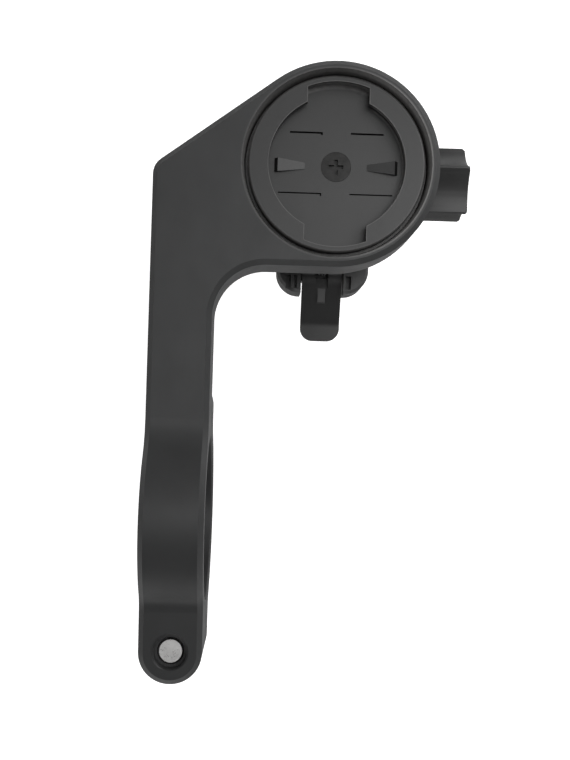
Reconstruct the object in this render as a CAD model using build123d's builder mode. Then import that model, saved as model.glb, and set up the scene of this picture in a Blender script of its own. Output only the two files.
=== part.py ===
from build123d import *
import math
import os

os.makedirs("parts", exist_ok=True)

# Origin at the centre of the handlebar bore, X along the bar, Y towards the
# front of the bicycle, Z up. All sizes are in millimetres.

# Handlebar clamp
bar_diameter = 31.8
clamp_width = 11.9
ring_wall = 4.1
split_gap = 0.6
ear_root_height = 14.8
ear_tip_height = 12.0
lower_ear_depth = 9.0
rear_screw_offset = 8.3
front_screw_offset = 6.1
ear_fillet = 4.5
lower_ear_fillet = 3.0
front_fillet = 9.0
edge_chamfer = 1.0
bore_chamfer = 0.3

# Arm and head plate
arm_depth = 12.2
head_radius = 19.6
head_x = 28.7
head_y = 68.4
shoulder_drop = 1.2
shoulder_fillet = 3.5
web_fillet = 10.0
arm_pocket_depth = 8.0
arm_pocket_wall = 2.4
arm_pocket_rib = 2.2
arm_pocket_corner = 1.5
arm_pockets = 3

# Clamp screws, M5 socket cap
clamp_screw_radius = 2.5
clamp_head_radius = 4.25
clamp_head_height = 5.0
clamp_screw_grip = 14.0
clamp_socket_flats = 4.0
ear_mouth_radius = 3.1
ear_mouth_chamfer = 0.4
ear_screw_proud = 0.4
clamp_head_sink = 0.3
clamp_head_gap = 0.25
clamp_screw_point = 0.35
tap_runout = 0.4
screw_clearance = 0.05

# Quarter-turn seat for the computer
seat_pocket_radius = 17.5
seat_mouth_taper = 0.45
seat_mouth_depth = 2.5
seat_flange_radius = 17.3
seat_top_radius = 16.85
seat_recess = 1.1
seat_floor = 1.8
seat_depth = 3.0
seat_lip = 1.5
seat_flange_height = 2.0
seat_opening_radius = 13.0
tab_radius = 15.7
tab_width = 11.7
undercut_radius = 15.9
seat_edge_round = 0.4
relief_depth = 0.8
seat_land_radius = 3.6
wedge_inner = 6.0
wedge_peak = 11.2
wedge_outer = 11.8
wedge_inner_width = 1.2
wedge_outer_width = 2.6
wedge_height = 0.9
wedge_toe = 0.15
slit_inner = 2.7
slit_front_y = 6.5
slit_front_length = 6.3
slit_front_width = 0.35
slit_rear_y = 5.2
slit_rear_length = 8.3
slit_rear_width = 0.25
slit_hook = 0.6
relief_margin = 1.0
lug_radius = 1.2
lug_height = 1.2
lug_offset = 12.6
lug_clearance = 0.05

# Countersunk screw in the seat, M3
seat_screw_radius = 1.5
seat_screw_head_radius = 2.85
seat_screw_stock = 1.6
cross_width = 0.7
cross_depth_share = 0.6

# Adapter under the head, a little to the left and in front of the head's middle
adapter_left = 0.7
adapter_forward = 0.9
axis_drop = 10.8
finger_thickness = 3.0
finger_gap = 3.2
finger_radius = 7.4
base_plate_margin = 0.6
base_plate_thickness = 2.2
base_corner = 3.0
base_screw_side = 2.0
base_screw_edge = 3.0
base_screw_radius = 1.25
base_screw_head_radius = 2.3
base_screw_length = 6.0
nut_flats = 8.0
nut_thickness = 3.9
nut_boss_radius = 5.9
nut_boss_height = 3.2
nut_clearance = 0.05

# Thumb bolt and fluted knob
bolt_radius = 2.5
bolt_running_gap = 0.06
bolt_point = 0.4
face_gap = 0.06
washer_radius = 4.8
washer_thickness = 0.9
knob_radius = 8.0
knob_reach = 28.8
knob_hub_radius = 5.2
knob_plate_gap = 0.4
knob_flutes = 5
knob_flute_floor = 5.4
knob_land_angle = 4.0
knob_turn = 18.2
knob_end_chamfer = 0.5
knob_socket_depth = 1.5
bolt_head_flats = 8.0
bolt_head_height = 3.5
bolt_socket_flats = 4.0

# Light bracket and its slide rail
bracket_drop = 8.0
bracket_plate = 2.5
bracket_width = 19.7
bracket_front = 13.0
bracket_rear = 22.5
bracket_rear_corner = 5.0
bracket_front_corner = 2.0
lobe_front = 9.9
lobe_height = 2.0
lobe_round = 0.6
lobe_core_wall = 0.9
lobe_core_length = 2.8
lobe_cores = [(-7.3, 1.1), (-5.75, 0.6), (5.6, 1.1)]
lever_slot_front = 8.9
lever_gap = 0.3
rail_depth = 5.0
rail_mouth_height = 2.4
rail_inner_width = 12.0
rail_mouth_width = 8.6
rail_stop = 17.5
rail_stop_wall = 1.9
rail_screw_x = 7.9
rail_screw_front = 9.5
rail_screw_rear = 12.9
rail_screw_radius = 0.9
rail_screw_head_radius = 1.5
rail_screw_head_height = 1.2
rail_screw_sink = 0.1
rail_screw_length = 5.6

# Release lever
lever_width = 8.5
pin_offset = 16.9
pin_radius = 1.0
pin_length = 17.0
pin_depth = 0.3
pin_clearance = 0.01
lever_hub_radius = 1.9
lever_thickness = 1.8
lever_flat_end = 19.9
lever_slope_end = 28.5
lever_tip = 32.4
lever_fall = 4.6
lever_corner = 2.7
lever_bend = 3.5
catch_front = 9.5
catch_length = 1.8
catch_reach = 1.3
lever_rib_width = 1.6
lever_rib_length = 2.8
lever_rib_height = 1.1
lever_rib_toe = 0.1
lever_rib_start = 21.4
lever_notch_width = 2.6
lever_notch_length = 2.4
spring_wire = 0.4
spring_clearance = 0.1
spring_pitch = 0.6
spring_turns = 2.25
spring_room = 3.0
spring_arm = 4.0

# Levels and radii worked out from the sizes above
bore_radius = bar_diameter / 2
ring_radius = bore_radius + ring_wall
half_width = clamp_width / 2
half_gap = split_gap / 2
arm_bottom = half_gap
arm_top = arm_bottom + arm_depth
rear_screw_y = -(bore_radius + rear_screw_offset)
front_screw_y = bore_radius + front_screw_offset
ear_slope = (ear_root_height - ear_tip_height) / (half_width - rear_screw_y)
ear_middle_height = ear_tip_height + ear_slope * half_width
ear_bottom = -(half_gap + lower_ear_depth)
clamp_seat = ear_bottom + clamp_head_height + clamp_head_sink
clamp_screw_end = clamp_seat + clamp_screw_grip
clamp_bore = clamp_screw_radius + screw_clearance
seat_top = arm_top - seat_recess
seat_floor_top = seat_top - seat_depth
seat_bottom = seat_floor_top - seat_floor
seat_screw_length = seat_floor_top - seat_screw_stock - arm_bottom
slit_middle = (slit_front_y - slit_rear_y) / 2
slit_reach = slit_inner + max(slit_front_length, slit_rear_length)
adapter_x = head_x - adapter_left
adapter_y = head_y + adapter_forward
axis_z = arm_bottom - axis_drop
finger_pitch = finger_thickness + finger_gap
finger_face = finger_pitch + finger_thickness / 2
boss_face = finger_face + nut_boss_height
base_screw_x = boss_face + base_screw_side
base_plate_length = 2 * (base_screw_x + base_screw_edge)
base_plate_width = 2 * (finger_radius + base_plate_margin)
base_screw_y = base_plate_width / 2 - base_screw_edge
bolt_bore = bolt_radius + bolt_running_gap
washer_face = finger_face + face_gap
hub_face = washer_face + washer_thickness
grip_face = base_plate_length / 2 + knob_plate_gap
bolt_head_face = knob_reach - knob_socket_depth
bracket_top = axis_z - bracket_drop
bracket_bottom = bracket_top - bracket_plate
rail_bottom = bracket_bottom - rail_depth
rail_screw_seat = rail_bottom + rail_screw_head_height + rail_screw_sink
slot_half = lever_width / 2 + lever_gap
pin_y = -pin_offset
pin_z = bracket_top - pin_depth
lever_top = pin_z + lever_thickness / 2
lever_end = lever_top - lever_fall


def head_plane(z):
    """Horizontal plane under or over the middle of the head."""
    return Plane((head_x, head_y, z))


def adapter_plane(z):
    """Horizontal plane under or over the middle of the adapter."""
    return Plane((adapter_x, adapter_y, z))


def head_across(x):
    """Plane square to the bar, at a distance x to the right of the head's middle."""
    return Plane((head_x + x, head_y, 0), x_dir=(0, 1, 0), z_dir=(1, 0, 0))


def across(x):
    """Plane square to the bar, at a distance x to the right of the adapter's middle."""
    return Plane((adapter_x + x, adapter_y, 0), x_dir=(0, 1, 0), z_dir=(1, 0, 0))


def upside_down(x, y, z):
    """Location whose own Z axis points down, for holes that are drilled upwards."""
    return Location(Plane((x, y, z), x_dir=(1, 0, 0), z_dir=(0, 0, -1)))


def tangent_point():
    """Where the slanting edge of the plate meets the round head."""
    dx = head_x + half_width
    distance = math.hypot(dx, shoulder_drop)
    slant = math.atan2(shoulder_drop, dx) + math.asin(head_radius / distance)
    run = math.sqrt(distance ** 2 - head_radius ** 2)
    return (
        -half_width + run * math.cos(slant),
        head_y - shoulder_drop + run * math.sin(slant),
    )


def outer_rim(part, direction):
    """Edges round the faces that look up (1) or down (-1), where these meet the sides."""
    faces = [face for face in part.faces() if face.normal_at().Z * direction > 0.1]
    edges = [edge for face in faces for edge in face.edges()]
    return [edge for edge in edges if sum(edge.is_same(other) for other in edges) == 1]


def bore_edges(part, radius):
    """Curved edges of the cylindrical faces that have this radius, lowest first."""
    faces = part.faces().filter_by(GeomType.CYLINDER)
    walls = [face for face in faces if abs(face.radius - radius) < 0.001]
    edges = [edge for face in walls for edge in face.edges() if edge.geom_type != GeomType.LINE]
    return ShapeList(edges).sort_by(Axis.Z)


def base_screw_places():
    """Corners of the adapter's screw pattern."""
    places = [(x, y) for x in (-base_screw_x, base_screw_x) for y in (-base_screw_y, base_screw_y)]
    return [(adapter_x + x, adapter_y + y) for x, y in places]


def rail_screw_places():
    """Corners of the rail's screw pattern."""
    places = [(x, y) for x in (-rail_screw_x, rail_screw_x) for y in (-rail_screw_rear, rail_screw_front)]
    return [(adapter_x + x, adapter_y + y) for x, y in places]


def bracket_outline(sketch):
    """Plan of the bracket and its rail, with the wide corners at the rear."""
    with Locations((0, (bracket_front - bracket_rear) / 2)):
        Rectangle(bracket_width, bracket_front + bracket_rear)
    rows = sketch.vertices().group_by(Axis.Y)
    fillet(rows[0], radius=bracket_rear_corner)
    fillet(rows[-1], radius=bracket_front_corner)


def slope_height(y):
    """Height of the lever's upper side on its slope, at a distance y behind the adapter's middle."""
    return lever_top - lever_fall * (y - lever_flat_end) / (lever_slope_end - lever_flat_end)


def countersunk_screw(place, radius, head_radius, length):
    """Cross-headed screw with its head flush at the place and its shank along the place's Z."""
    cone = head_radius - radius
    base = (Align.CENTER, Align.CENTER, Align.MIN)
    with Locations(place):
        Cylinder(radius, length, align=base)
        Cone(head_radius, radius, cone, align=base)
        Box(head_radius, cross_width, cone * cross_depth_share, align=base, mode=Mode.SUBTRACT)
        Box(cross_width, head_radius, cone * cross_depth_share, align=base, mode=Mode.SUBTRACT)


def finish(builder, name):
    """Labels a piece and writes its file."""
    builder.part.label = name
    export_step(builder.part, f"parts/{name}.step")


# Arm, head plate and upper half of the clamp, with the bar's hump and the rear ear
tangent_x, tangent_y = tangent_point()
with BuildPart() as arm_body:
    with BuildSketch(Plane.XY) as plan:
        with BuildLine():
            Line((-half_width, rear_screw_y), (-half_width, head_y - shoulder_drop))
            Line((-half_width, head_y - shoulder_drop), (tangent_x, tangent_y))
            ThreePointArc(
                (tangent_x, tangent_y),
                (head_x + head_radius, head_y),
                (head_x, head_y - head_radius),
            )
            Line((head_x, head_y - head_radius), (half_width, head_y - head_radius))
            Line((half_width, head_y - head_radius), (half_width, rear_screw_y))
            Line((half_width, rear_screw_y), (-half_width, rear_screw_y))
        make_face()
        shoulder = plan.vertices().sort_by_distance((-half_width, head_y - shoulder_drop))[0]
        fillet(shoulder, radius=shoulder_fillet)
        web = plan.vertices().sort_by_distance((half_width, head_y - head_radius))[0]
        fillet(web, radius=web_fillet)
        with Locations((0, rear_screw_y)):
            Circle(half_width)
    extrude(amount=ring_radius + 1)
    with BuildSketch(Plane.YZ) as profile:
        Circle(ring_radius)
        with Locations((0, arm_bottom)):
            Rectangle(head_y + head_radius + 1, arm_depth, align=(Align.MIN, Align.MIN))
        with BuildLine():
            Polyline(
                (0, arm_bottom),
                (rear_screw_y - half_width, arm_bottom),
                (rear_screw_y - half_width, ear_tip_height),
                (0, ear_root_height),
                close=True,
            )
        make_face()
        with Locations((0, arm_bottom)):
            Rectangle(4 * head_y, 2 * ring_radius, align=(Align.CENTER, Align.MAX), mode=Mode.SUBTRACT)
        front_root = (math.sqrt(ring_radius ** 2 - arm_top ** 2), arm_top)
        fillet(profile.vertices().sort_by_distance(front_root)[0], radius=front_fillet)
        rear_root = (-math.sqrt(ring_radius ** 2 - ear_root_height ** 2), ear_root_height)
        fillet(profile.vertices().sort_by_distance(rear_root)[0], radius=ear_fillet)
        Circle(bore_radius, mode=Mode.SUBTRACT)
    extrude(amount=head_x + head_radius + 1, both=True, mode=Mode.INTERSECT)
    chamfer(outer_rim(arm_body, 1), length=edge_chamfer)
    chamfer(bore_edges(arm_body, bore_radius), length=bore_chamfer)

    # Rear ear: tapped hole, with a wider mouth above the screw's end
    mouth_floor = clamp_screw_end - ear_screw_proud
    with Locations((0, rear_screw_y, ear_root_height)):
        CounterBoreHole(
            radius=clamp_bore,
            counter_bore_radius=ear_mouth_radius,
            counter_bore_depth=ear_root_height - mouth_floor,
        )
    with Locations((0, rear_screw_y, ear_middle_height - ear_mouth_chamfer)):
        Cone(
            bottom_radius=ear_mouth_radius,
            top_radius=2 * ear_mouth_radius,
            height=ear_mouth_radius,
            align=(Align.CENTER, Align.CENTER, Align.MIN),
            mode=Mode.SUBTRACT,
        )

    # Front ear: blind tapped hole
    with Locations(upside_down(0, front_screw_y, arm_bottom)):
        Hole(radius=clamp_bore, depth=clamp_screw_end - arm_bottom + tap_runout)

    # Pockets that lighten the arm from below
    pocket_start = front_screw_y + half_width + arm_pocket_rib
    pocket_end = head_y - shoulder_drop - arm_pocket_wall
    pocket_pitch = (pocket_end - pocket_start + arm_pocket_rib) / arm_pockets
    with BuildSketch(Plane.XY.offset(arm_bottom)):
        with Locations((0, (pocket_start + pocket_end) / 2)):
            with GridLocations(1, pocket_pitch, 1, arm_pockets):
                RectangleRounded(
                    clamp_width - 2 * arm_pocket_wall,
                    pocket_pitch - arm_pocket_rib,
                    arm_pocket_corner,
                )
    extrude(amount=arm_pocket_depth, mode=Mode.SUBTRACT)

    # Round pocket for the seat with a flared mouth, room for its sprung strips, lugs and screw
    with BuildSketch(head_plane(seat_bottom)):
        Circle(seat_pocket_radius)
    extrude(amount=arm_top - seat_bottom, mode=Mode.SUBTRACT)
    with Locations((head_x, head_y, arm_top - seat_mouth_depth)):
        Cone(
            bottom_radius=seat_pocket_radius,
            top_radius=seat_pocket_radius + seat_mouth_taper,
            height=seat_mouth_depth,
            align=(Align.CENTER, Align.CENTER, Align.MIN),
            mode=Mode.SUBTRACT,
        )
    with BuildSketch(head_plane(seat_bottom)):
        with Locations((0, slit_middle)):
            Rectangle(2 * (slit_reach + relief_margin), slit_front_y + slit_rear_y + 2 * relief_margin)
        Circle(seat_land_radius, mode=Mode.SUBTRACT)
    extrude(amount=-relief_depth, mode=Mode.SUBTRACT)
    with BuildSketch(head_plane(seat_bottom)):
        with GridLocations(1, 2 * lug_offset, 1, 2):
            Circle(lug_radius + lug_clearance)
    extrude(amount=-lug_height - tap_runout, mode=Mode.SUBTRACT)
    with Locations((head_x, head_y, seat_bottom)):
        Hole(
            radius=seat_screw_radius + screw_clearance,
            depth=seat_screw_length - seat_floor + tap_runout,
        )

    # Tapped holes for the adapter's screws
    for x, y in base_screw_places():
        with Locations(upside_down(x, y, arm_bottom)):
            Hole(
                radius=base_screw_radius + screw_clearance,
                depth=base_screw_length - base_plate_thickness + tap_runout,
            )
finish(arm_body, "arm_body")

# Lower half of the clamp
with BuildPart() as lower_clamp:
    with BuildSketch(Plane.XY):
        with Locations((0, rear_screw_y), (0, front_screw_y)):
            Circle(half_width)
        with Locations((0, rear_screw_y)):
            Rectangle(clamp_width, front_screw_y - rear_screw_y, align=(Align.CENTER, Align.MIN))
    extrude(amount=-ring_radius - 1)
    with BuildSketch(Plane.YZ) as lower_profile:
        Circle(ring_radius)
        with Locations((rear_screw_y - half_width, ear_bottom)):
            Rectangle(
                front_screw_y - rear_screw_y + clamp_width,
                lower_ear_depth,
                align=(Align.MIN, Align.MIN),
            )
        with Locations((0, -half_gap)):
            Rectangle(4 * head_y, 2 * ring_radius, align=(Align.CENTER, Align.MIN), mode=Mode.SUBTRACT)
        root_y = math.sqrt(ring_radius ** 2 - ear_bottom ** 2)
        for y in (-root_y, root_y):
            root = lower_profile.vertices().sort_by_distance((y, ear_bottom))[0]
            fillet(root, radius=lower_ear_fillet)
        Circle(bore_radius, mode=Mode.SUBTRACT)
    extrude(amount=clamp_width, both=True, mode=Mode.INTERSECT)
    chamfer(outer_rim(lower_clamp, -1), length=edge_chamfer)
    chamfer(bore_edges(lower_clamp, bore_radius), length=bore_chamfer)
    for y in (rear_screw_y, front_screw_y):
        with Locations(upside_down(0, y, ear_bottom)):
            CounterBoreHole(
                radius=clamp_bore,
                counter_bore_radius=clamp_head_radius + clamp_head_gap,
                counter_bore_depth=clamp_head_height + clamp_head_sink,
                depth=lower_ear_depth,
            )
finish(lower_clamp, "lower_clamp")

# Clamp screws, driven from below
with BuildPart() as clamp_screws:
    for y in (rear_screw_y, front_screw_y):
        seat = Plane((0, y, clamp_seat))
        with BuildSketch(seat):
            Circle(clamp_head_radius)
        extrude(amount=-clamp_head_height)
        with BuildSketch(seat):
            Circle(clamp_screw_radius)
        extrude(amount=clamp_screw_grip)
        with BuildSketch(seat.offset(-clamp_head_height)):
            RegularPolygon(clamp_socket_flats / 2, 6, major_radius=False)
        extrude(amount=clamp_head_height / 2, mode=Mode.SUBTRACT)
    chamfer(clamp_screws.edges().group_by(Axis.Z)[-1], length=clamp_screw_point)
    chamfer(
        clamp_screws.edges().filter_by(GeomType.CIRCLE).group_by(Axis.Z)[0],
        length=clamp_screw_point / 2,
    )
finish(clamp_screws, "clamp_screws")

# Quarter-turn seat: flanged disc with an undercut recess behind two lips
with BuildPart() as computer_seat:
    with BuildSketch(head_plane(seat_bottom)):
        Circle(seat_flange_radius)
    extrude(amount=seat_flange_height)
    with BuildSketch(head_plane(seat_bottom)):
        Circle(seat_top_radius)
    extrude(amount=seat_top - seat_bottom)
    fillet(computer_seat.edges().group_by(Axis.Z)[-1], radius=seat_edge_round)
    with BuildSketch(head_plane(seat_floor_top)):
        Circle(undercut_radius)
    extrude(amount=seat_depth - seat_lip, mode=Mode.SUBTRACT)
    with BuildSketch(head_plane(seat_top)):
        Circle(tab_radius)
        Rectangle(tab_width, 2 * tab_radius, mode=Mode.INTERSECT)
        Circle(seat_opening_radius)
    extrude(amount=-seat_depth, mode=Mode.SUBTRACT)

    # Wedges on sprung strips, which hold the tabs after the quarter turn
    for side in (-1, 1):
        for reach, width, height in (
            (wedge_inner, wedge_inner_width, wedge_toe),
            (wedge_peak, wedge_outer_width, wedge_height),
            (wedge_outer, wedge_outer_width, wedge_toe),
        ):
            with BuildSketch(head_across(side * reach)):
                with Locations((0, seat_floor_top)):
                    Rectangle(width, height, align=(Align.CENTER, Align.MIN))
        loft(ruled=True)
    with BuildSketch(head_plane(seat_bottom)):
        for y, length, width in (
            (slit_front_y, slit_front_length, slit_front_width),
            (-slit_rear_y, slit_rear_length, slit_rear_width),
        ):
            with Locations((-slit_inner - length / 2, y), (slit_inner + length / 2, y)):
                Rectangle(length, width)
            with Locations((-slit_inner, y + width / 2)):
                Rectangle(width, slit_hook, align=(Align.MAX, Align.MAX))
    extrude(amount=seat_floor, mode=Mode.SUBTRACT)

    # Lugs that keep the seat from turning, and the hole for its screw
    with BuildSketch(head_plane(seat_bottom)):
        with GridLocations(1, 2 * lug_offset, 1, 2):
            Circle(lug_radius)
    extrude(amount=-lug_height)
    with Locations((head_x, head_y, seat_floor_top)):
        CounterSinkHole(
            radius=seat_screw_radius + screw_clearance,
            counter_sink_radius=seat_screw_head_radius + screw_clearance,
            counter_sink_angle=90,
        )
finish(computer_seat, "computer_seat")

# Countersunk screw in the middle of the seat
with BuildPart() as seat_screw:
    countersunk_screw(
        upside_down(head_x, head_y, seat_floor_top),
        seat_screw_radius,
        seat_screw_head_radius,
        seat_screw_length,
    )
finish(seat_screw, "seat_screw")

# Adapter base: plate with three fingers and a boss for the nut
with BuildPart() as adapter_base:
    with BuildSketch(adapter_plane(arm_bottom)):
        RectangleRounded(base_plate_length, base_plate_width, base_corner)
    extrude(amount=-base_plate_thickness)
    for k in (-1, 0, 1):
        with BuildSketch(across(k * finger_pitch - finger_thickness / 2)):
            with Locations((0, axis_z)):
                Circle(finger_radius)
                Rectangle(2 * finger_radius, axis_drop, align=(Align.CENTER, Align.MIN))
        extrude(amount=finger_thickness)
    with BuildSketch(across(-boss_face)):
        with Locations((0, axis_z)):
            Circle(nut_boss_radius)
    extrude(amount=nut_boss_height)
    with BuildSketch(across(-boss_face)):
        with Locations((0, axis_z)):
            RegularPolygon(nut_flats / 2 + nut_clearance, 6, major_radius=False)
    extrude(amount=nut_thickness, mode=Mode.SUBTRACT)
    with BuildSketch(across(-boss_face)):
        with Locations((0, axis_z)):
            Circle(bolt_bore)
    extrude(amount=boss_face + finger_face, mode=Mode.SUBTRACT)
    for x, y in base_screw_places():
        with Locations(upside_down(x, y, arm_bottom - base_plate_thickness)):
            CounterSinkHole(
                radius=base_screw_radius + screw_clearance,
                counter_sink_radius=base_screw_head_radius + screw_clearance,
                depth=base_plate_thickness,
                counter_sink_angle=90,
            )
finish(adapter_base, "adapter_base")

with BuildPart() as adapter_screws:
    for x, y in base_screw_places():
        countersunk_screw(
            Location((x, y, arm_bottom - base_plate_thickness)),
            base_screw_radius,
            base_screw_head_radius,
            base_screw_length,
        )
finish(adapter_screws, "adapter_screws")

# Hex nut trapped in the boss
with BuildPart() as captive_nut:
    with BuildSketch(across(-boss_face)):
        with Locations((0, axis_z)):
            RegularPolygon(nut_flats / 2, 6, major_radius=False)
            Circle(bolt_bore, mode=Mode.SUBTRACT)
    extrude(amount=nut_thickness)
finish(captive_nut, "captive_nut")

# Thumb bolt, with its head sunk in the knob
with BuildPart() as thumb_bolt:
    with BuildSketch(across(-boss_face)):
        with Locations((0, axis_z)):
            Circle(bolt_radius)
    extrude(amount=boss_face + bolt_head_face)
    chamfer(thumb_bolt.edges().group_by(Axis.X)[0], length=bolt_point)
    with BuildSketch(across(bolt_head_face)):
        with Locations((0, axis_z)):
            RegularPolygon(bolt_head_flats / 2, 6, major_radius=False)
    extrude(amount=-bolt_head_height)
    with BuildSketch(across(bolt_head_face)):
        with Locations((0, axis_z)):
            RegularPolygon(bolt_socket_flats / 2, 6, major_radius=False)
    extrude(amount=-bolt_head_height / 2, mode=Mode.SUBTRACT)
finish(thumb_bolt, "thumb_bolt")

with BuildPart() as bolt_washer:
    with BuildSketch(across(washer_face)):
        with Locations((0, axis_z)):
            Circle(washer_radius)
            Circle(bolt_bore, mode=Mode.SUBTRACT)
    extrude(amount=washer_thickness)
finish(bolt_washer, "bolt_washer")

# Knob: hollow flutes between narrow lands, on a round hub
land = math.radians(180 / knob_flutes - knob_land_angle / 2)
land_y = knob_radius * math.sin(land)
land_x = knob_radius * math.cos(land)
flute_centre = (knob_radius ** 2 - knob_flute_floor ** 2) / (2 * (land_x - knob_flute_floor))
with BuildPart() as thumb_knob:
    with BuildSketch(across(grip_face)):
        with Locations((0, axis_z)):
            Circle(knob_radius)
    extrude(amount=knob_reach - grip_face)
    chamfer(thumb_knob.edges().filter_by(GeomType.CIRCLE), length=knob_end_chamfer)
    with BuildSketch(across(grip_face)):
        with Locations((0, axis_z)):
            with PolarLocations(flute_centre, knob_flutes, start_angle=90 - knob_turn + 180 / knob_flutes):
                Circle(flute_centre - knob_flute_floor)
    extrude(amount=knob_reach - grip_face, mode=Mode.SUBTRACT)
    with BuildSketch(across(hub_face)):
        with Locations((0, axis_z)):
            Circle(knob_hub_radius)
    extrude(amount=grip_face - hub_face)
    with BuildSketch(across(knob_reach)):
        with Locations((0, axis_z)):
            RegularPolygon(bolt_head_flats / 2 + nut_clearance, 6, major_radius=False)
    extrude(amount=-knob_socket_depth - bolt_head_height, mode=Mode.SUBTRACT)
    with BuildSketch(across(hub_face)):
        with Locations((0, axis_z)):
            Circle(bolt_radius + screw_clearance)
    extrude(amount=knob_reach - hub_face, mode=Mode.SUBTRACT)
finish(thumb_knob, "thumb_knob")

# Light bracket: two fingers on a plate, with a raised lobe each side of the lever
with BuildPart() as light_bracket:
    with BuildSketch(adapter_plane(bracket_bottom)) as bracket_plan:
        bracket_outline(bracket_plan)
    extrude(amount=bracket_plate + lobe_height)
    with BuildSketch(adapter_plane(bracket_top)):
        with Locations((0, -lobe_front)):
            Rectangle(2 * bracket_width, bracket_rear, align=(Align.CENTER, Align.MIN))
        with Locations((0, -lobe_front)):
            Rectangle(2 * bracket_width, 2 * bracket_front + lobe_front, align=(Align.CENTER, Align.MIN))
    extrude(amount=lobe_height, mode=Mode.SUBTRACT)
    chamfer(light_bracket.faces().sort_by(Axis.Z)[-1].edges(), length=lobe_round)
    for side in (-1, 1):
        with BuildSketch(across(side * finger_pitch / 2 - finger_thickness / 2)):
            with Locations((0, axis_z)):
                Circle(finger_radius)
                Rectangle(2 * finger_radius, bracket_drop + bracket_plate, align=(Align.CENTER, Align.MAX))
        extrude(amount=finger_thickness)
    with BuildSketch(across(-bracket_width / 2)):
        with Locations((0, axis_z)):
            Circle(bolt_bore)
    extrude(amount=bracket_width, mode=Mode.SUBTRACT)

    # Slot for the lever, and the bore for its pin, open on the right
    with BuildSketch(adapter_plane(bracket_bottom)):
        with Locations((0, -lever_slot_front)):
            Rectangle(2 * slot_half, bracket_rear, align=(Align.CENTER, Align.MAX))
    extrude(amount=bracket_plate + lobe_height, mode=Mode.SUBTRACT)
    with BuildSketch(across(-pin_length / 2)):
        with Locations((pin_y, pin_z)):
            Circle(pin_radius + pin_clearance)
    extrude(amount=bracket_width, mode=Mode.SUBTRACT)

    # Cores in the lobes
    with BuildSketch(adapter_plane(bracket_top + lobe_height)):
        for centre, width in lobe_cores:
            with Locations((centre, -bracket_rear + lobe_core_wall)):
                Rectangle(width, lobe_core_length, align=(Align.CENTER, Align.MIN))
    extrude(amount=-lobe_height, mode=Mode.SUBTRACT)
    for x, y in rail_screw_places():
        with Locations(upside_down(x, y, bracket_bottom)):
            Hole(
                radius=rail_screw_radius + screw_clearance,
                depth=rail_screw_seat + rail_screw_length - bracket_bottom + tap_runout,
            )
finish(light_bracket, "light_bracket")

# Slide rail: a channel with inward lips, open at the front and stopped at the rear
with BuildPart() as slide_rail:
    with BuildSketch(adapter_plane(rail_bottom)) as rail_plan:
        bracket_outline(rail_plan)
    extrude(amount=rail_depth)
    for width, level, height in (
        (rail_mouth_width, rail_bottom, rail_depth),
        (rail_inner_width, rail_bottom + rail_mouth_height, rail_depth - rail_mouth_height),
    ):
        with BuildSketch(adapter_plane(level)):
            with Locations((0, -rail_stop)):
                Rectangle(width, rail_stop + bracket_front, align=(Align.CENTER, Align.MIN))
        extrude(amount=height, mode=Mode.SUBTRACT)
    with BuildSketch(adapter_plane(rail_bottom)):
        with Locations((0, -rail_stop - rail_stop_wall)):
            Rectangle(2 * slot_half, bracket_rear, align=(Align.CENTER, Align.MAX))
    extrude(amount=rail_depth, mode=Mode.SUBTRACT)
    for x, y in rail_screw_places():
        with Locations(upside_down(x, y, rail_bottom)):
            CounterBoreHole(
                radius=rail_screw_radius + screw_clearance,
                counter_bore_radius=rail_screw_head_radius + screw_clearance,
                counter_bore_depth=rail_screw_head_height + rail_screw_sink,
                depth=rail_depth,
            )
finish(slide_rail, "slide_rail")

with BuildPart() as rail_screws:
    for x, y in rail_screw_places():
        seat = Plane((x, y, rail_screw_seat))
        with BuildSketch(seat):
            Circle(rail_screw_head_radius)
        extrude(amount=-rail_screw_head_height)
        with BuildSketch(seat):
            Circle(rail_screw_radius)
        extrude(amount=rail_screw_length)
        with BuildSketch(seat.offset(-rail_screw_head_height)):
            Rectangle(1.5 * rail_screw_head_radius, cross_width / 2)
            Rectangle(cross_width / 2, 1.5 * rail_screw_head_radius)
        extrude(amount=rail_screw_head_height / 2, mode=Mode.SUBTRACT)
finish(rail_screws, "rail_screws")

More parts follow.
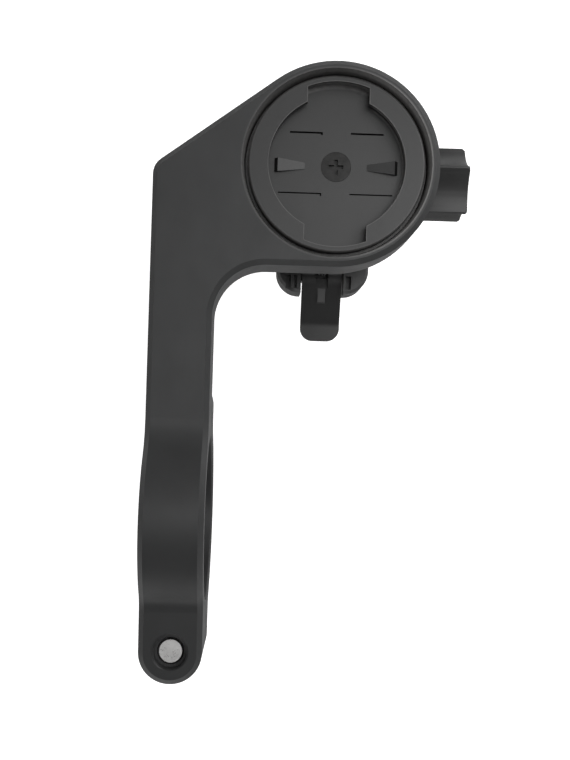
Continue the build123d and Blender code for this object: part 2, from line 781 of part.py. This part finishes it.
# Release lever: hub, catch in front, sloping tab behind
with BuildPart() as release_lever:
    with BuildSketch(across(-lever_width / 2)):
        with BuildLine():
            FilletPolyline(
                (-catch_front, pin_z),
                (-lever_flat_end, pin_z),
                (-lever_slope_end, lever_end - lever_thickness / 2),
                (-lever_tip, lever_end - lever_thickness / 2),
                radius=lever_bend,
            )
        trace(line_width=lever_thickness)
        with Locations((pin_y, pin_z)):
            Circle(lever_hub_radius)
        with BuildLine():
            Polyline(
                (-catch_front, pin_z),
                (-catch_front, bracket_bottom),
                (-catch_front - catch_length / 2, bracket_bottom - catch_reach),
                (-catch_front - catch_length, bracket_bottom - catch_reach),
                (-catch_front - catch_length, pin_z),
                close=True,
            )
        make_face()
    extrude(amount=lever_width)
    with BuildSketch(adapter_plane(rail_bottom)) as lever_plan:
        with Locations((0, -lever_tip)):
            Rectangle(lever_width, lever_tip - catch_front, align=(Align.CENTER, Align.MIN))
        fillet(lever_plan.vertices().group_by(Axis.Y)[0], radius=lever_corner)
    extrude(amount=arm_bottom - rail_bottom, mode=Mode.INTERSECT)

    # Thumb rib on the slope, and the notch in front of it
    rib_end = lever_rib_start + lever_rib_length
    with BuildSketch(across(-lever_rib_width / 2)):
        with BuildLine():
            Polyline(
                (-lever_rib_start, slope_height(lever_rib_start) + lever_rib_toe),
                (-rib_end, slope_height(rib_end) + lever_rib_height),
                (-rib_end, slope_height(rib_end) - lever_thickness / 2),
                (-lever_rib_start, slope_height(lever_rib_start) - lever_thickness / 2),
                close=True,
            )
        make_face()
    extrude(amount=lever_rib_width)
    with BuildSketch(adapter_plane(lever_top)):
        with Locations((0, -lever_rib_start)):
            Rectangle(lever_notch_width, lever_notch_length, align=(Align.CENTER, Align.MIN))
    extrude(amount=-lever_thickness / 2, mode=Mode.SUBTRACT)
    with BuildSketch(across(-lever_width / 2)):
        with Locations((pin_y, pin_z)):
            Circle(pin_radius + bolt_running_gap)
    extrude(amount=lever_width, mode=Mode.SUBTRACT)

    # Room in the hub for the spring
    with BuildSketch(across(-spring_room / 2)):
        with Locations((pin_y, pin_z)):
            Circle(lever_hub_radius + spring_wire)
    extrude(amount=spring_room, mode=Mode.SUBTRACT)
finish(release_lever, "release_lever")

with BuildPart() as lever_pin:
    with BuildSketch(across(-pin_length / 2)):
        with Locations((pin_y, pin_z)):
            Circle(pin_radius)
    extrude(amount=pin_length)
finish(lever_pin, "lever_pin")

# Torsion spring on the pin: the coil, a foot that stands on the rail's stop, and an arm over the lever
coil_radius = pin_radius + spring_clearance + spring_wire / 2
coil_length = spring_turns * spring_pitch
coil_start = adapter_x - coil_length / 2
with BuildPart() as lever_spring:
    with BuildLine() as coil:
        Helix(
            pitch=spring_pitch,
            height=coil_length,
            radius=coil_radius,
            center=(coil_start, adapter_y + pin_y, pin_z),
            direction=(1, 0, 0),
        )
    with BuildSketch(Plane(coil.line @ 0, z_dir=coil.line % 0)):
        Circle(spring_wire / 2)
    sweep(path=coil.line)
    arm_end = Vector(coil_start, adapter_y + pin_y + spring_arm, lever_top + spring_wire / 2 + face_gap)
    foot_end = Vector(coil_start + coil_length, adapter_y + pin_y - coil_radius, bracket_bottom)
    for root, tip in ((coil.line @ 0, arm_end), (coil.line @ 1, foot_end)):
        with BuildSketch(Plane(root, z_dir=tip - root)):
            Circle(spring_wire / 2)
        extrude(amount=(tip - root).length)
finish(lever_spring, "lever_spring")
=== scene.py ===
import bmesh
import bpy
import math
from mathutils import Matrix, Vector


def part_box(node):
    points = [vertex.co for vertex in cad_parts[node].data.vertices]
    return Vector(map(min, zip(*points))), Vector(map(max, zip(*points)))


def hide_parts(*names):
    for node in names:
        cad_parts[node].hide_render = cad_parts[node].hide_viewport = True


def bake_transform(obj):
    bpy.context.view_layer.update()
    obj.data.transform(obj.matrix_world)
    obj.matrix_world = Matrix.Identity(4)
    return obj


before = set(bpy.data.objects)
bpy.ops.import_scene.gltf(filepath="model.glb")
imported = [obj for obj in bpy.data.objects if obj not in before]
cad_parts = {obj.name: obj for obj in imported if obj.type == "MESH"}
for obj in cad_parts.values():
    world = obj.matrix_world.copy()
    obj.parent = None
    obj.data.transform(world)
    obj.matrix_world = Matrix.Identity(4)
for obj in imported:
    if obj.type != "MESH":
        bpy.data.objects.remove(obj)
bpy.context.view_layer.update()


def node_box(name):
    """Lowest corner, highest corner and middle of a CAD node at rest."""
    low, high = (Vector(corner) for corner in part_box(name))
    return low, high, (low + high) / 2


# Places and sizes, in metres
SEAT_LOW, SEAT_HIGH, SEAT_MIDDLE = node_box("computer_seat")
LEVER_LOW, _, LEVER_MIDDLE = node_box("release_lever")
SEAT_RADIUS = (SEAT_HIGH.x - SEAT_LOW.x) / 2
SEAT_TOP = SEAT_HIGH.z
LIP_RADIUS = 0.013
SLOT_RADIUS = 0.0157
SLOT_HALF = 0.00585
RIB_MIDDLE_Y = LEVER_LOW.y + 0.0096
RIB_HALF_WIDTH = 0.0008
RIB_HALF_LENGTH = 0.0014

# Painted light: reflectance of the pale grey painted over shaded grooves and edges, and the width and soft
# border of a painted highlight line in metres
PAINTED_LIGHT_GREY = 0.085
HIGHLIGHT_WIDTH = 0.00012
HIGHLIGHT_SOFT = 0.00006
# Grey of the paler top of the release lever's rib
RIB_TOP_GREY = 0.055


# Materials


class Tree:
    """Small helper that builds a node tree in a few readable lines."""

    def __init__(self, name):
        self.material = bpy.data.materials.new(name)
        self.material.use_nodes = True
        self.nodes = self.material.node_tree.nodes
        self.links = self.material.node_tree.links
        self.nodes.clear()
        self.out = self.add("ShaderNodeOutputMaterial")
        self.shader = self.add("ShaderNodeBsdfPrincipled")
        self.links.new(self.shader.outputs[0], self.out.inputs["Surface"])
        self.place = self.add("ShaderNodeTexCoord").outputs["Object"]

    def add(self, kind, **settings):
        node = self.nodes.new(kind)
        for key, value in settings.items():
            setattr(node, key, value)
        return node

    def put(self, socket, value):
        """Links another node's output to a socket, or sets the socket's own value."""
        if isinstance(value, bpy.types.NodeSocket):
            self.links.new(value, socket)
        else:
            socket.default_value = value

    def noise(self, scale, detail, rough, stretch=None):
        node = self.add("ShaderNodeTexNoise")
        place = self.place
        if stretch:
            mapping = self.add("ShaderNodeMapping")
            self.put(mapping.inputs["Vector"], place)
            mapping.inputs["Scale"].default_value = stretch
            place = mapping.outputs[0]
        self.put(node.inputs["Vector"], place)
        node.inputs["Scale"].default_value = scale
        node.inputs["Detail"].default_value = detail
        node.inputs["Roughness"].default_value = rough
        return node.outputs["Fac"]

    def span(self, value, low, high, start=0.3, end=0.7):
        """Maps start to low and end to high, and holds both beyond them."""
        node = self.add("ShaderNodeMapRange")
        self.put(node.inputs["Value"], value)
        node.inputs["From Min"].default_value = start
        node.inputs["From Max"].default_value = end
        node.inputs["To Min"].default_value = low
        node.inputs["To Max"].default_value = high
        return node.outputs["Result"]

    def math(self, kind, first, *others):
        """Applies one operation to two or more values in turn."""
        for other in others:
            node = self.add("ShaderNodeMath", operation=kind)
            self.put(node.inputs[0], first)
            self.put(node.inputs[1], other)
            first = node.outputs[0]
        return first

    def size_of(self, value):
        node = self.add("ShaderNodeMath", operation="ABSOLUTE")
        self.put(node.inputs[0], value)
        return node.outputs[0]

    def mix(self, factor, a, b):
        node = self.add("ShaderNodeMix", data_type="RGBA")
        self.put(node.inputs["Factor"], factor)
        self.put(node.inputs["A"], a)
        self.put(node.inputs["B"], b)
        return node.outputs["Result"]

    def bump(self, height, strength, distance):
        node = self.add("ShaderNodeBump")
        self.put(node.inputs["Height"], height)
        node.inputs["Strength"].default_value = strength
        node.inputs["Distance"].default_value = distance
        return node.outputs["Normal"]

    def part_of(self, vector, axis):
        split = self.add("ShaderNodeSeparateXYZ")
        self.put(split.inputs[0], vector)
        return split.outputs[axis]

    def along(self, axis):
        return self.part_of(self.place, axis)

    def away(self, axis, middle):
        """Distance from a middle plane across an axis."""
        return self.size_of(self.math("SUBTRACT", self.along(axis), middle))

    def upright(self):
        """1 where the surface stands upright, as a milled wall does, and 0 where it lies flat."""
        normal = self.add("ShaderNodeNewGeometry").outputs["True Normal"]
        return self.span(self.size_of(self.part_of(normal, "Z")), 1.0, 0.0, 0.1, 0.6)

    def ring(self, inner, outer, top, soft=0.0002):
        """1 between two radii round the seat's middle and below a height, with soft borders."""
        away = self.add("ShaderNodeVectorMath", operation="SUBTRACT")
        self.put(away.inputs[0], self.place)
        away.inputs[1].default_value = (SEAT_MIDDLE.x, SEAT_MIDDLE.y, 0)
        flat = self.add("ShaderNodeVectorMath", operation="MULTIPLY")
        self.put(flat.inputs[0], away.outputs[0])
        flat.inputs[1].default_value = (1, 1, 0)
        reach = self.add("ShaderNodeVectorMath", operation="LENGTH")
        self.put(reach.inputs[0], flat.outputs[0])
        start = self.span(reach.outputs["Value"], 0, 1, inner - soft, inner + soft)
        end = self.span(reach.outputs["Value"], 1, 0, outer - soft, outer + soft)
        under = self.span(self.along("Z"), 1, 0, top - soft, top + soft)
        return self.math("MULTIPLY", start, end, under)

    def paint_light(self, colour, mask, painted_grey):
        """Lays painted light, a pale grey, over a colour, broken up by a fine noise."""
        flecks = self.span(self.noise(1500, 4, 0.6), 0.7, 1.0, 0.35, 0.6)
        return self.mix(self.math("MULTIPLY", mask, flecks), colour, grey(painted_grey, 0.02))

    def finish(self, base, rough, normal):
        self.put(self.shader.inputs["Base Color"], base)
        self.put(self.shader.inputs["Roughness"], rough)
        self.put(self.shader.inputs["Normal"], normal)
        return self.material


def grey(value, warm=0.0):
    return (value * (1 + warm), value, value * (1 - warm), 1.0)


def groove_painted_light(t, base):
    """Painted light over the shade on the metal side of the groove round the seat, strongest on the right.
    """
    groove = t.ring(SEAT_RADIUS - 0.0004, SEAT_RADIUS + 0.0008, SEAT_TOP + 0.0012)
    groove = t.math("MULTIPLY", groove, t.span(t.along("Z"), 0, 1, SEAT_LOW.z, SEAT_LOW.z + 0.0004))
    on_right = t.span(t.along("X"), 0, 1, SEAT_MIDDLE.x, SEAT_MIDDLE.x + 0.012)
    base = t.paint_light(base, groove, PAINTED_LIGHT_GREY)
    return t.paint_light(base, t.math("MULTIPLY", groove, on_right), 2.5 * PAINTED_LIGHT_GREY)


def lip_painted_highlight(t):
    """Painted highlight line along the edges of the seat's opening and of its two tab slots, standing in
    for light caught by small edge rounds.
    """
    beside = t.away("X", SEAT_MIDDLE.x)
    above = SEAT_TOP + 0.001
    opening = t.ring(LIP_RADIUS, LIP_RADIUS + HIGHLIGHT_WIDTH, above, HIGHLIGHT_SOFT)
    slot_end = t.math("MULTIPLY", t.span(beside, 1, 0, SLOT_HALF, SLOT_HALF + 0.0001),
                      t.ring(SLOT_RADIUS, SLOT_RADIUS + HIGHLIGHT_WIDTH, above, HIGHLIGHT_SOFT))
    slot_side = t.math("MULTIPLY", t.span(beside, 0, 1, SLOT_HALF, SLOT_HALF + HIGHLIGHT_SOFT),
                       t.span(beside, 1, 0, SLOT_HALF + HIGHLIGHT_WIDTH, SLOT_HALF + HIGHLIGHT_WIDTH + HIGHLIGHT_SOFT),
                       t.ring(LIP_RADIUS, SLOT_RADIUS, above))
    on_top = t.span(t.along("Z"), 0, 0.9, SEAT_TOP - 0.0003, SEAT_TOP - 0.0001)
    return t.math("MULTIPLY", t.math("MAXIMUM", opening, slot_end, slot_side), on_top)


def seat_painted_light(t, base):
    """Painted light that lifts the shade round the insert and under its lips, and painted highlights on its
    edges.
    """
    # Painted light over the shaded gap round the insert and the shade under the front of the lip, and
    # painted light on the insert's outer rim
    groove = t.ring(SEAT_RADIUS - 0.0003, SEAT_RADIUS + 0.001, SEAT_TOP - 0.0005)
    in_front = t.span(t.along("Y"), 0, 1, SEAT_MIDDLE.y, SEAT_MIDDLE.y + 0.002)
    under_lip = t.math("MULTIPLY", t.ring(SEAT_RADIUS - 0.0022, SEAT_RADIUS, SEAT_TOP - 0.0006), in_front)
    rim = t.ring(SEAT_RADIUS - 0.0009, SEAT_RADIUS - 0.0002, SEAT_TOP, HIGHLIGHT_WIDTH)
    on_right = t.span(t.along("X"), 0, 1, SEAT_MIDDLE.x + SLOT_HALF, SEAT_MIDDLE.x + 0.0075)
    # Stronger painted light over the shaded right wall of the opening, under the lip
    lip_wall = t.ring(LIP_RADIUS - 0.0001, LIP_RADIUS + 0.0001, SEAT_TOP - 0.0002)
    base = t.paint_light(base, t.math("MULTIPLY", lip_wall, on_right), 2 * PAINTED_LIGHT_GREY)
    mask = t.math("MAXIMUM", t.math("MULTIPLY", rim, 0.6), lip_painted_highlight(t), groove, under_lip)
    return t.paint_light(base, mask, PAINTED_LIGHT_GREY)


def rib_top_paler(t, base):
    """Paler top of the release lever's rib."""
    across = t.span(t.away("X", LEVER_MIDDLE.x), 1, 0, RIB_HALF_WIDTH, RIB_HALF_WIDTH + 0.0001)
    along = t.span(t.away("Y", RIB_MIDDLE_Y), 1, 0, RIB_HALF_LENGTH, RIB_HALF_LENGTH + 0.0003)
    return t.mix(t.math("MULTIPLY", across, along), base, grey(RIB_TOP_GREY))


def blasted_metal(name, dark, light, rough, wall_rough):
    """Black anodised aluminium over a fine blasted grain, with rougher milled walls."""
    t = Tree(name)
    grain = t.noise(5200, 2, 0.6)
    base = t.mix(t.span(t.noise(90, 4, 0.55), 0, 1), grey(dark, -0.03), grey(light, -0.03))
    base = t.mix(t.span(grain, 0, 0.35, 0.45, 0.75), base, grey(light * 1.25, -0.03))
    smear = t.span(t.noise(260, 5, 0.6, (1, 0.45, 1)), rough - 0.04, rough + 0.05)
    walls = t.math("MULTIPLY", t.upright(), wall_rough - rough)
    rough = t.math("ADD", smear, t.span(grain, -0.02, 0.03), walls)
    # The groove round the seat gets painted light over its shade.
    return t.finish(groove_painted_light(t, base), rough, t.bump(grain, 0.22, 0.00002))


def moulded(name, dark, light, rough, overlay=None):
    """Moulded black plastic with a fine leathery grain, faint flow marks and duller walls."""
    wall_rough = 0.8
    t = Tree(name)
    flow = t.noise(140, 4, 0.5, (1, 0.6, 1))
    grain = t.noise(3800, 3, 0.55)
    base = t.mix(t.span(flow, 0, 1), grey(dark), grey(light))
    # Paler marks laid over the base colour: painted light and painted highlights on the seat, a paler rib
    # top on the lever
    if overlay:
        base = overlay(t, base)
    walls = t.math("MULTIPLY", t.upright(), wall_rough - rough)
    rough = t.math("ADD", t.span(flow, rough - 0.04, rough + 0.05), t.span(grain, -0.03, 0.03), walls)
    return t.finish(base, rough, t.bump(grain, 0.25, 0.00003))


def steel(name, dark, light, rough, stretch):
    """Bare or blackened steel with fine turning lines and a few dull patches."""
    t = Tree(name)
    lines = t.noise(2600, 3, 0.6, stretch)
    patch = t.noise(420, 4, 0.6)
    t.shader.inputs["Metallic"].default_value = 1.0
    base = t.mix(t.span(patch, 0, 1), grey(dark, 0.01), grey(light, 0.01))
    rough = t.math("ADD", t.span(lines, rough - 0.06, rough + 0.08), t.span(patch, -0.03, 0.05))
    return t.finish(base, rough, t.bump(lines, 0.12, 0.00001))


anodised = blasted_metal("anodised_black", 0.011, 0.016, 0.45, 0.7)
seat_plastic = moulded("seat_plastic", 0.0125, 0.0175, 0.39, seat_painted_light)
adapter_plastic = moulded("adapter_plastic", 0.028, 0.034, 0.34)
knob_plastic = moulded("knob_plastic", 0.008, 0.012, 0.44)
lever_plastic = moulded("lever_plastic", 0.004, 0.0065, 0.46, rib_top_paler)
black_steel = steel("black_steel", 0.022, 0.036, 0.4, (1, 1, 1))
bright_steel = steel("bright_steel", 0.5, 0.62, 0.3, (1, 1, 0.2))
spring_steel = steel("spring_steel", 0.10, 0.14, 0.35, (0.3, 1, 1))

dress = {
    "arm_body": anodised,
    "lower_clamp": anodised,
    "clamp_screws": bright_steel,
    "computer_seat": seat_plastic,
    "seat_screw": black_steel,
    "adapter_base": adapter_plastic,
    "adapter_screws": black_steel,
    "captive_nut": bright_steel,
    "thumb_bolt": bright_steel,
    "thumb_knob": knob_plastic,
    "bolt_washer": bright_steel,
    "light_bracket": adapter_plastic,
    "slide_rail": adapter_plastic,
    "rail_screws": black_steel,
    "release_lever": lever_plastic,
    "lever_pin": black_steel,
    "lever_spring": spring_steel,
}
for name, material in dress.items():
    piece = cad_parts[name]
    piece.data.materials.clear()
    piece.data.materials.append(material)


# The spring's long arm lies on the lever; a copy of the spring's mesh takes its place as an object of its
# own, and the CAD spring is hidden

return_spring = bpy.data.objects.new("return_spring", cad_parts["lever_spring"].data.copy())
bpy.context.collection.objects.link(return_spring)
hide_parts("lever_spring")
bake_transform(return_spring)


# The knob's edges, slightly broken as the mould leaves them

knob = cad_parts["thumb_knob"]
knob.modifiers.new("join_faces", "WELD").merge_threshold = 0.000001
soften = knob.modifiers.new("edge_break", "BEVEL")
soften.width = 0.0002
soften.segments = 2
soften.limit_method = "ANGLE"
soften.angle_limit = math.radians(35)
soften.use_clamp_overlap = True
soften.harden_normals = True


# Floor

FLOOR_MIDDLE = Vector((0.03, 0.03, -0.075))
FLAT_RADII = (0.3, 1.2)
SWEEP_RADIUS = 3.2
SWEEP_HEIGHT = 1.3
SWEEP_STEPS = 12
SPOKES = 72
FLOOR_GLOW = 0.25
FLOOR_WHITER = 0.4


def sweep_floor():
    """Round flat floor whose border curves up all round, so that no horizon shows."""
    profile = [(radius, 0.0) for radius in FLAT_RADII]
    for k in range(1, SWEEP_STEPS + 1):
        turn = math.pi / 2 * k / SWEEP_STEPS
        radius = FLAT_RADII[-1] + (SWEEP_RADIUS - FLAT_RADII[-1]) * math.sin(turn)
        profile.append((radius, SWEEP_HEIGHT * (1 - math.cos(turn))))
    spokes = [2 * math.pi * k / SPOKES for k in range(SPOKES)]
    mesh = bmesh.new()
    rings = []
    for radius, rise in profile:
        places = [FLOOR_MIDDLE + Vector((radius * math.cos(a), radius * math.sin(a), rise)) for a in spokes]
        rings.append([mesh.verts.new(place) for place in places])
    mesh.faces.new(rings[0])
    for inner, outer in zip(rings, rings[1:]):
        for k in range(SPOKES):
            mesh.faces.new((inner[k - 1], outer[k - 1], outer[k], inner[k]))
    for face in mesh.faces:
        face.smooth = True
    data = bpy.data.meshes.new("floor")
    mesh.to_mesh(data)
    mesh.free()
    obj = bpy.data.objects.new("floor", data)
    bpy.context.collection.objects.link(obj)
    return obj


def floor_white():
    """Matt white that looks brighter than it is lit, and adds no light to the object's matt surfaces."""
    t = Tree("floor_white")
    t.put(t.shader.inputs["Base Color"], t.mix(t.span(t.noise(40, 3, 0.5), 0, 1), grey(0.86), grey(0.89)))
    t.shader.inputs["Roughness"].default_value = 0.85
    ray = t.add("ShaderNodeLightPath").outputs
    direct = t.math("MAXIMUM", ray["Is Camera Ray"], ray["Is Glossy Ray"], ray["Is Transmission Ray"])
    whiter = t.math("MULTIPLY", ray["Is Camera Ray"], FLOOR_WHITER)
    glow = t.add("ShaderNodeEmission")
    glow.inputs["Color"].default_value = (1, 1, 1, 1)
    t.put(glow.inputs["Strength"], t.math("ADD", t.math("MULTIPLY", direct, FLOOR_GLOW), whiter))
    both = t.add("ShaderNodeAddShader")
    t.links.new(t.shader.outputs[0], both.inputs[0])
    t.links.new(glow.outputs[0], both.inputs[1])
    t.links.new(both.outputs[0], t.out.inputs["Surface"])
    return t.material


floor = sweep_floor()
floor.data.materials.append(floor_white())


# Light

LIT_MIDDLE = Vector((0.02, 0.03, 0.0))


def lamp(name, place, size, power):
    """Soft rectangular lamp aimed at the object."""
    data = bpy.data.lights.new(name, "AREA")
    data.shape = "RECTANGLE"
    data.size, data.size_y = size
    data.energy = power
    obj = bpy.data.objects.new(name, data)
    bpy.context.collection.objects.link(obj)
    obj.location = place
    obj.rotation_mode = "QUATERNION"
    obj.rotation_quaternion = (LIT_MIDDLE - Vector(place)).to_track_quat("-Z", "Y")


lamp("softbox", (0.25, 0.11, 0.70), (0.36, 0.60), 2.0)
lamp("key", (0.42, 0.40, 0.40), (0.5, 0.5), 2.2)
lamp("rear", (-0.20, -0.50, 0.03), (0.7, 0.35), 0.6)

world = bpy.data.worlds.new("studio")
bpy.context.scene.world = world
world.use_nodes = True
sky = world.node_tree.nodes["Background"]
sky.inputs["Color"].default_value = (1, 1, 1, 1)
sky.inputs["Strength"].default_value = 0.35


# Camera at the photograph's viewing angle, fitted to points of the object

PICTURE_HEIGHT = 760
FOCAL_PIXELS = 1100.43
SENSOR = 36.0
CAMERA_PLACE = (0.0154754, 0.0216353, 0.2180449)
CAMERA_TURN = Vector((0.0266, -0.0223, 0.0283))

cam_data = bpy.data.cameras.new("camera")
cam_data.sensor_width = SENSOR
cam_data.lens = FOCAL_PIXELS / PICTURE_HEIGHT * SENSOR
cam_data.clip_start = 0.01
cam = bpy.data.objects.new("camera", cam_data)
bpy.context.collection.objects.link(cam)
cam.location = CAMERA_PLACE
cam.rotation_mode = "QUATERNION"
cam.rotation_quaternion = Matrix.Rotation(CAMERA_TURN.length, 3, CAMERA_TURN.normalized()).to_quaternion()
bpy.context.scene.camera = cam

bpy.context.scene.view_settings.view_transform = "Standard"
